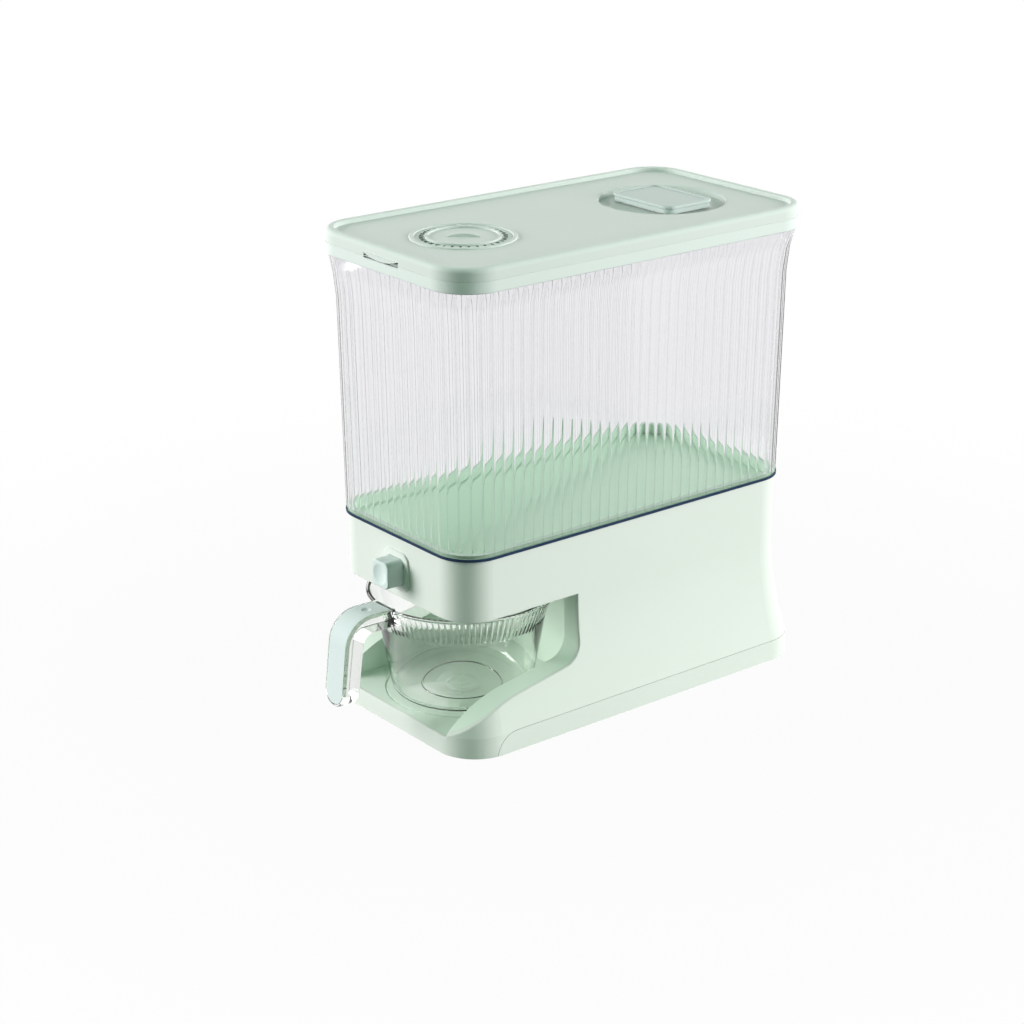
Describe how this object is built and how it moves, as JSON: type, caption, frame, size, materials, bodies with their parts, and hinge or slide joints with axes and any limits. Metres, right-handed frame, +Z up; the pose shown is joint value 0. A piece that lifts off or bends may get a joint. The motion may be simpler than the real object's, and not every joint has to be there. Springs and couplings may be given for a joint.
{
  "type": "rice dispenser",
  "caption": "Countertop grain dispenser: clear fluted hopper on a flared base with an open bay, push-button gate, pull-out measuring cup, hinged lid with dial and lift-out cap.",
  "frame": {"origin": "on the table, under the middle of the base's footprint, on the underside of the base plate", "axes": "+Z up, -Y towards the front with the button and the cup, X across the width"},
  "size_m": [0.19, 0.4016, 0.375],
  "materials": {
    "mint_shell": "satin moulded plastic",
    "mint_lid": "satin moulded plastic",
    "clear_container": "clear polished plastic",
    "clear_cup": "clear polished plastic",
    "dark_gasket": "matte",
    "green_hopper": "satin moulded plastic",
    "steel": "bright zinc plate",
    "rubber": "matte",
    "soft_seal": "matte silicone",
    "inner_plastic": "plain moulded plastic"
  },
  "bodies": {
    "base": {"base_housing": "mint_shell", "cup_bay_liner": "mint_shell", "bay_ceiling": "mint_shell", "base_plate": "mint_shell", "foot_pads": "rubber", "base_screws": "steel", "hopper_floor": "green_hopper", "outlet_chute": "green_hopper", "gate_guide": "inner_plastic", "guide_screws": "steel", "button_bezel": "mint_shell", "container": "clear_container", "container_gasket": "dark_gasket", "lid_frame": "mint_lid", "hinge_pins": "steel", "return_spring": "steel"},
    "gate": {"push_button": "mint_lid", "gate_slider": "inner_plastic", "button_screw": "steel"},
    "lid": {"lid_cover": "mint_lid", "lid_inner_panel": "mint_lid", "lid_seal": "soft_seal", "desiccant_basket": "inner_plastic", "dial_scale_ring": "mint_lid"},
    "dial": {"dial_knob": "mint_lid", "dial_clip": "steel"},
    "cap": {"desiccant_cap": "mint_lid", "desiccant_cap_seal": "soft_seal"},
    "cup": {"measuring_cup": "clear_cup", "cup_handle_cover": "mint_lid"}
  },
  "joints": [
    {"name": "button_press", "type": "slide", "parent": "base", "child": "gate", "axis": [0, 1, 0], "range_m": [0, 0.0115], "stiffness_N_per_m": 300, "deforming": ["return_spring"]},
    {"name": "lid_hinge", "type": "hinge", "parent": "base", "child": "lid", "pos_m": [0, 0.1725, 0.3624], "axis": [-1, 0, 0], "range_deg": [0, 100]},
    {"name": "dial_turn", "type": "hinge", "parent": "lid", "child": "dial", "pos_m": [0, -0.101, 0.3715], "axis": [0, 0, 1], "continuous": true},
    {"name": "cap_lift", "type": "slide", "parent": "lid", "child": "cap", "axis": [0, 0, 1], "range_m": [0, 0.04]},
    {"name": "cup_pull", "type": "slide", "parent": "base", "child": "cup", "axis": [0, -1, 0], "range_m": [0, 0.215]}
  ]
}
